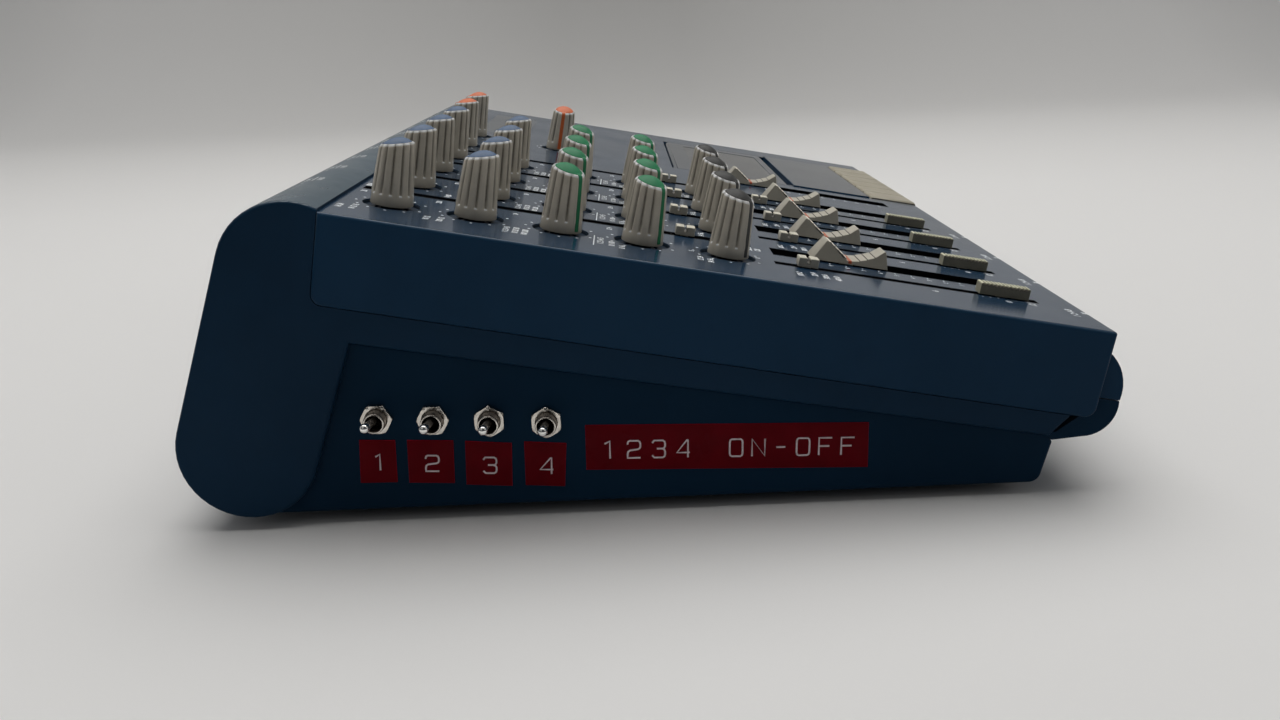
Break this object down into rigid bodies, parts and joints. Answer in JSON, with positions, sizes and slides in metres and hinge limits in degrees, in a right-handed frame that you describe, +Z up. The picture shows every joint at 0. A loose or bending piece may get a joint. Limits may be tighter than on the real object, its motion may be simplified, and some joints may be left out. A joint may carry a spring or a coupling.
{
  "type": "four track cassette recorder",
  "caption": "Sloping-deck cassette recorder with a channel mixer, faders, transport keys, a cassette lid, side toggle switches and a rear socket roll.",
  "frame": {"origin": "under the middle of the whole outline, toggle levers included, on the surface that the feet stand on", "axes": "+Z up, +X to the user's right, the front edge faces -Y"},
  "size_m": [0.3792, 0.2629, 0.1056],
  "materials": {
    "blue_case": "satin dark teal blue moulded plastic",
    "board": "green circuit board with black parts",
    "steel": "zinc plated steel",
    "nickel": "bright nickel plate",
    "rubber": "soft black rubber",
    "black_steel": "black oxide steel",
    "black_plastic": "black moulded plastic",
    "knob_grey": "warm grey moulded plastic",
    "ivory": "ivory moulded plastic",
    "key_beige": "beige moulded plastic"
  },
  "bodies": {
    "case": {"deck_cover": "blue_case", "base_case": "blue_case", "circuit_boards": "board", "tape_chassis": "steel", "panel_hardware": "nickel", "rubber_feet": "rubber", "case_screws": "black_steel"},
    "treble_knob_1": {"treble_knob_1": "knob_grey"},
    "treble_knob_2": {"treble_knob_2": "knob_grey"},
    "treble_knob_3": {"treble_knob_3": "knob_grey"},
    "treble_knob_4": {"treble_knob_4": "knob_grey"},
    "bass_knob_1": {"bass_knob_1": "knob_grey"},
    "bass_knob_2": {"bass_knob_2": "knob_grey"},
    "bass_knob_3": {"bass_knob_3": "knob_grey"},
    "bass_knob_4": {"bass_knob_4": "knob_grey"},
    "effect_one_knob_1": {"effect_one_knob_1": "knob_grey"},
    "effect_one_knob_2": {"effect_one_knob_2": "knob_grey"},
    "effect_one_knob_3": {"effect_one_knob_3": "knob_grey"},
    "effect_one_knob_4": {"effect_one_knob_4": "knob_grey"},
    "effect_two_knob_1": {"effect_two_knob_1": "knob_grey"},
    "effect_two_knob_2": {"effect_two_knob_2": "knob_grey"},
    "effect_two_knob_3": {"effect_two_knob_3": "knob_grey"},
    "effect_two_knob_4": {"effect_two_knob_4": "knob_grey"},
    "pan_knob_1": {"pan_knob_1": "knob_grey"},
    "pan_knob_2": {"pan_knob_2": "knob_grey"},
    "pan_knob_3": {"pan_knob_3": "knob_grey"},
    "pan_knob_4": {"pan_knob_4": "knob_grey"},
    "monitor_knob": {"monitor_knob": "knob_grey"},
    "phones_knob": {"phones_knob": "knob_grey"},
    "pitch_knob": {"pitch_knob": "knob_grey"},
    "fader_cap_1": {"fader_cap_1": "ivory"},
    "fader_cap_2": {"fader_cap_2": "ivory"},
    "fader_cap_3": {"fader_cap_3": "ivory"},
    "fader_cap_4": {"fader_cap_4": "ivory"},
    "master_fader_cap": {"master_fader_cap": "ivory"},
    "trim_slider_1": {"trim_slider_1": "key_beige"},
    "source_switch_1": {"source_switch_1": "key_beige"},
    "assign_switch_1": {"assign_switch_1": "key_beige"},
    "toggle_lever_1": {"toggle_lever_1": "nickel"},
    "trim_slider_2": {"trim_slider_2": "key_beige"},
    "source_switch_2": {"source_switch_2": "key_beige"},
    "assign_switch_2": {"assign_switch_2": "key_beige"},
    "toggle_lever_2": {"toggle_lever_2": "nickel"},
    "trim_slider_3": {"trim_slider_3": "key_beige"},
    "source_switch_3": {"source_switch_3": "key_beige"},
    "assign_switch_3": {"assign_switch_3": "key_beige"},
    "toggle_lever_3": {"toggle_lever_3": "nickel"},
    "trim_slider_4": {"trim_slider_4": "key_beige"},
    "source_switch_4": {"source_switch_4": "key_beige"},
    "assign_switch_4": {"assign_switch_4": "key_beige"},
    "toggle_lever_4": {"toggle_lever_4": "nickel"},
    "transport_key_1": {"transport_key_1": "key_beige"},
    "transport_key_2": {"transport_key_2": "key_beige"},
    "transport_key_3": {"transport_key_3": "key_beige"},
    "transport_key_4": {"transport_key_4": "key_beige"},
    "transport_key_5": {"transport_key_5": "key_beige"},
    "transport_key_6": {"transport_key_6": "key_beige"},
    "cassette_door": {"cassette_door": "blue_case"},
    "supply_spindle": {"supply_spindle": "black_plastic"},
    "takeup_spindle": {"takeup_spindle": "black_plastic"}
  },
  "joints": [
    {"name": "treble_knob_1_turn", "type": "hinge", "parent": "case", "child": "treble_knob_1", "pos_m": [-0.1492, 0.07031, 0.08653], "axis": [0, -0.1925, 0.9813], "range_deg": [-140, 140]},
    {"name": "treble_knob_2_turn", "type": "hinge", "parent": "case", "child": "treble_knob_2", "pos_m": [-0.1092, 0.07031, 0.08653], "axis": [0, -0.1925, 0.9813], "range_deg": [-140, 140]},
    {"name": "treble_knob_3_turn", "type": "hinge", "parent": "case", "child": "treble_knob_3", "pos_m": [-0.0692, 0.07031, 0.08653], "axis": [0, -0.1925, 0.9813], "range_deg": [-140, 140]},
    {"name": "treble_knob_4_turn", "type": "hinge", "parent": "case", "child": "treble_knob_4", "pos_m": [-0.0292, 0.07031, 0.08653], "axis": [0, -0.1925, 0.9813], "range_deg": [-140, 140]},
    {"name": "bass_knob_1_turn", "type": "hinge", "parent": "case", "child": "bass_knob_1", "pos_m": [-0.1492, 0.04706, 0.08196], "axis": [0, -0.1925, 0.9813], "range_deg": [-140, 140]},
    {"name": "bass_knob_2_turn", "type": "hinge", "parent": "case", "child": "bass_knob_2", "pos_m": [-0.1092, 0.04706, 0.08196], "axis": [0, -0.1925, 0.9813], "range_deg": [-140, 140]},
    {"name": "bass_knob_3_turn", "type": "hinge", "parent": "case", "child": "bass_knob_3", "pos_m": [-0.0692, 0.04706, 0.08196], "axis": [0, -0.1925, 0.9813], "range_deg": [-140, 140]},
    {"name": "bass_knob_4_turn", "type": "hinge", "parent": "case", "child": "bass_knob_4", "pos_m": [-0.0292, 0.04706, 0.08196], "axis": [0, -0.1925, 0.9813], "range_deg": [-140, 140]},
    {"name": "effect_one_knob_1_turn", "type": "hinge", "parent": "case", "child": "effect_one_knob_1", "pos_m": [-0.1492, 0.02311, 0.07727], "axis": [0, -0.1925, 0.9813], "range_deg": [-280, 0]},
    {"name": "effect_one_knob_2_turn", "type": "hinge", "parent": "case", "child": "effect_one_knob_2", "pos_m": [-0.1092, 0.02311, 0.07727], "axis": [0, -0.1925, 0.9813], "range_deg": [-280, 0]},
    {"name": "effect_one_knob_3_turn", "type": "hinge", "parent": "case", "child": "effect_one_knob_3", "pos_m": [-0.0692, 0.02311, 0.07727], "axis": [0, -0.1925, 0.9813], "range_deg": [-280, 0]},
    {"name": "effect_one_knob_4_turn", "type": "hinge", "parent": "case", "child": "effect_one_knob_4", "pos_m": [-0.0292, 0.02311, 0.07727], "axis": [0, -0.1925, 0.9813], "range_deg": [-280, 0]},
    {"name": "effect_two_knob_1_turn", "type": "hinge", "parent": "case", "child": "effect_two_knob_1", "pos_m": [-0.1492, 0.00005, 0.07274], "axis": [0, -0.1925, 0.9813], "range_deg": [-280, 0]},
    {"name": "effect_two_knob_2_turn", "type": "hinge", "parent": "case", "child": "effect_two_knob_2", "pos_m": [-0.1092, 0.00005, 0.07274], "axis": [0, -0.1925, 0.9813], "range_deg": [-280, 0]},
    {"name": "effect_two_knob_3_turn", "type": "hinge", "parent": "case", "child": "effect_two_knob_3", "pos_m": [-0.0692, 0.00005, 0.07274], "axis": [0, -0.1925, 0.9813], "range_deg": [-280, 0]},
    {"name": "effect_two_knob_4_turn", "type": "hinge", "parent": "case", "child": "effect_two_knob_4", "pos_m": [-0.0292, 0.00005, 0.07274], "axis": [0, -0.1925, 0.9813], "range_deg": [-280, 0]},
    {"name": "pan_knob_1_turn", "type": "hinge", "parent": "case", "child": "pan_knob_1", "pos_m": [-0.1492, -0.02448, 0.06793], "axis": [0, -0.1925, 0.9813], "range_deg": [-280, 0]},
    {"name": "pan_knob_2_turn", "type": "hinge", "parent": "case", "child": "pan_knob_2", "pos_m": [-0.1092, -0.02448, 0.06793], "axis": [0, -0.1925, 0.9813], "range_deg": [-280, 0]},
    {"name": "pan_knob_3_turn", "type": "hinge", "parent": "case", "child": "pan_knob_3", "pos_m": [-0.0692, -0.02448, 0.06793], "axis": [0, -0.1925, 0.9813], "range_deg": [-280, 0]},
    {"name": "pan_knob_4_turn", "type": "hinge", "parent": "case", "child": "pan_knob_4", "pos_m": [-0.0292, -0.02448, 0.06793], "axis": [0, -0.1925, 0.9813], "range_deg": [-280, 0]},
    {"name": "monitor_knob_turn", "type": "hinge", "parent": "case", "child": "monitor_knob", "pos_m": [0.0126, 0.07169, 0.0868], "axis": [0, -0.1925, 0.9813], "range_deg": [-140, 140]},
    {"name": "phones_knob_turn", "type": "hinge", "parent": "case", "child": "phones_knob", "pos_m": [0.0536, 0.07218, 0.08689], "axis": [0, -0.1925, 0.9813], "range_deg": [-140, 140]},
    {"name": "pitch_knob_turn", "type": "hinge", "parent": "case", "child": "pitch_knob", "pos_m": [0.0476, 0.03342, 0.07929], "axis": [0, -0.1925, 0.9813], "range_deg": [-230, 50]},
    {"name": "fader_cap_1_slide", "type": "slide", "parent": "case", "child": "fader_cap_1", "axis": [0, -0.9813, -0.1925], "range_m": [-0.0199, 0.0401]},
    {"name": "fader_cap_2_slide", "type": "slide", "parent": "case", "child": "fader_cap_2", "axis": [0, -0.9813, -0.1925], "range_m": [-0.0199, 0.0401]},
    {"name": "fader_cap_3_slide", "type": "slide", "parent": "case", "child": "fader_cap_3", "axis": [0, -0.9813, -0.1925], "range_m": [-0.0199, 0.0401]},
    {"name": "fader_cap_4_slide", "type": "slide", "parent": "case", "child": "fader_cap_4", "axis": [0, -0.9813, -0.1925], "range_m": [-0.0199, 0.0401]},
    {"name": "master_fader_cap_slide", "type": "slide", "parent": "case", "child": "master_fader_cap", "axis": [0, -0.9813, -0.1925], "range_m": [-0.002, 0.058]},
    {"name": "trim_slider_1_slide", "type": "slide", "parent": "case", "child": "trim_slider_1", "axis": [0, 0.9813, 0.1925], "range_m": [-0.001, 0.04]},
    {"name": "source_switch_1_slide", "type": "slide", "parent": "case", "child": "source_switch_1", "axis": [0, 0.9813, 0.1925], "range_m": [0, 0.004]},
    {"name": "assign_switch_1_slide", "type": "slide", "parent": "case", "child": "assign_switch_1", "axis": [0, -0.9813, -0.1925], "range_m": [0, 0.004]},
    {"name": "toggle_lever_1_flip", "type": "hinge", "parent": "case", "child": "toggle_lever_1", "pos_m": [-0.1732, 0.07534, 0.0312], "axis": [0, 1, 0], "range_deg": [-18, 0]},
    {"name": "trim_slider_2_slide", "type": "slide", "parent": "case", "child": "trim_slider_2", "axis": [0, 0.9813, 0.1925], "range_m": [-0.001, 0.04]},
    {"name": "source_switch_2_slide", "type": "slide", "parent": "case", "child": "source_switch_2", "axis": [0, 0.9813, 0.1925], "range_m": [0, 0.004]},
    {"name": "assign_switch_2_slide", "type": "slide", "parent": "case", "child": "assign_switch_2", "axis": [0, -0.9813, -0.1925], "range_m": [0, 0.004]},
    {"name": "toggle_lever_2_flip", "type": "hinge", "parent": "case", "child": "toggle_lever_2", "pos_m": [-0.1732, 0.05985, 0.0303], "axis": [0, 1, 0], "range_deg": [-18, 0]},
    {"name": "trim_slider_3_slide", "type": "slide", "parent": "case", "child": "trim_slider_3", "axis": [0, 0.9813, 0.1925], "range_m": [-0.001, 0.04]},
    {"name": "source_switch_3_slide", "type": "slide", "parent": "case", "child": "source_switch_3", "axis": [0, 0.9813, 0.1925], "range_m": [0, 0.004]},
    {"name": "assign_switch_3_slide", "type": "slide", "parent": "case", "child": "assign_switch_3", "axis": [0, -0.9813, -0.1925], "range_m": [0, 0.004]},
    {"name": "toggle_lever_3_flip", "type": "hinge", "parent": "case", "child": "toggle_lever_3", "pos_m": [-0.1732, 0.04435, 0.0293], "axis": [0, 1, 0], "range_deg": [-18, 0]},
    {"name": "trim_slider_4_slide", "type": "slide", "parent": "case", "child": "trim_slider_4", "axis": [0, 0.9813, 0.1925], "range_m": [-0.001, 0.04]},
    {"name": "source_switch_4_slide", "type": "slide", "parent": "case", "child": "source_switch_4", "axis": [0, 0.9813, 0.1925], "range_m": [0, 0.004]},
    {"name": "assign_switch_4_slide", "type": "slide", "parent": "case", "child": "assign_switch_4", "axis": [0, -0.9813, -0.1925], "range_m": [0, 0.004]},
    {"name": "toggle_lever_4_flip", "type": "hinge", "parent": "case", "child": "toggle_lever_4", "pos_m": [-0.1732, 0.02865, 0.0283], "axis": [0, 1, 0], "range_deg": [-18, 0]},
    {"name": "transport_key_1_press", "type": "hinge", "parent": "case", "child": "transport_key_1", "pos_m": [0.1036, -0.1091, 0.04216], "axis": [1, 0, 0], "range_deg": [0, 6.5], "stiffness_Nm_per_rad": 0.3, "springref_deg": -1.72},
    {"name": "transport_key_2_press", "type": "hinge", "parent": "case", "child": "transport_key_2", "pos_m": [0.1036, -0.1091, 0.04216], "axis": [1, 0, 0], "range_deg": [0, 6.5], "stiffness_Nm_per_rad": 0.3, "springref_deg": -1.72},
    {"name": "transport_key_3_press", "type": "hinge", "parent": "case", "child": "transport_key_3", "pos_m": [0.1036, -0.1091, 0.04216], "axis": [1, 0, 0], "range_deg": [0, 6.5], "stiffness_Nm_per_rad": 0.3, "springref_deg": -1.72},
    {"name": "transport_key_4_press", "type": "hinge", "parent": "case", "child": "transport_key_4", "pos_m": [0.1036, -0.1091, 0.04216], "axis": [1, 0, 0], "range_deg": [0, 6.5], "stiffness_Nm_per_rad": 0.3, "springref_deg": -1.72},
    {"name": "transport_key_5_press", "type": "hinge", "parent": "case", "child": "transport_key_5", "pos_m": [0.1036, -0.1091, 0.04216], "axis": [1, 0, 0], "range_deg": [0, 6.5], "stiffness_Nm_per_rad": 0.3, "springref_deg": -1.72},
    {"name": "transport_key_6_press", "type": "hinge", "parent": "case", "child": "transport_key_6", "pos_m": [0.1036, -0.1091, 0.04216], "axis": [1, 0, 0], "range_deg": [0, 6.5], "stiffness_Nm_per_rad": 0.3, "springref_deg": -1.72},
    {"name": "cassette_door_open", "type": "hinge", "parent": "case", "child": "cassette_door", "pos_m": [0.1036, -0.01938, 0.06689], "axis": [-1, 0, 0], "range_deg": [0, 75]},
    {"name": "supply_spindle_spin", "type": "hinge", "parent": "case", "child": "supply_spindle", "pos_m": [0.08235, -0.05663, 0.04481], "axis": [0, -0.1925, 0.9813], "continuous": true},
    {"name": "takeup_spindle_spin", "type": "hinge", "parent": "case", "child": "takeup_spindle", "pos_m": [0.12485, -0.05663, 0.04481], "axis": [0, -0.1925, 0.9813], "continuous": true}
  ]
}
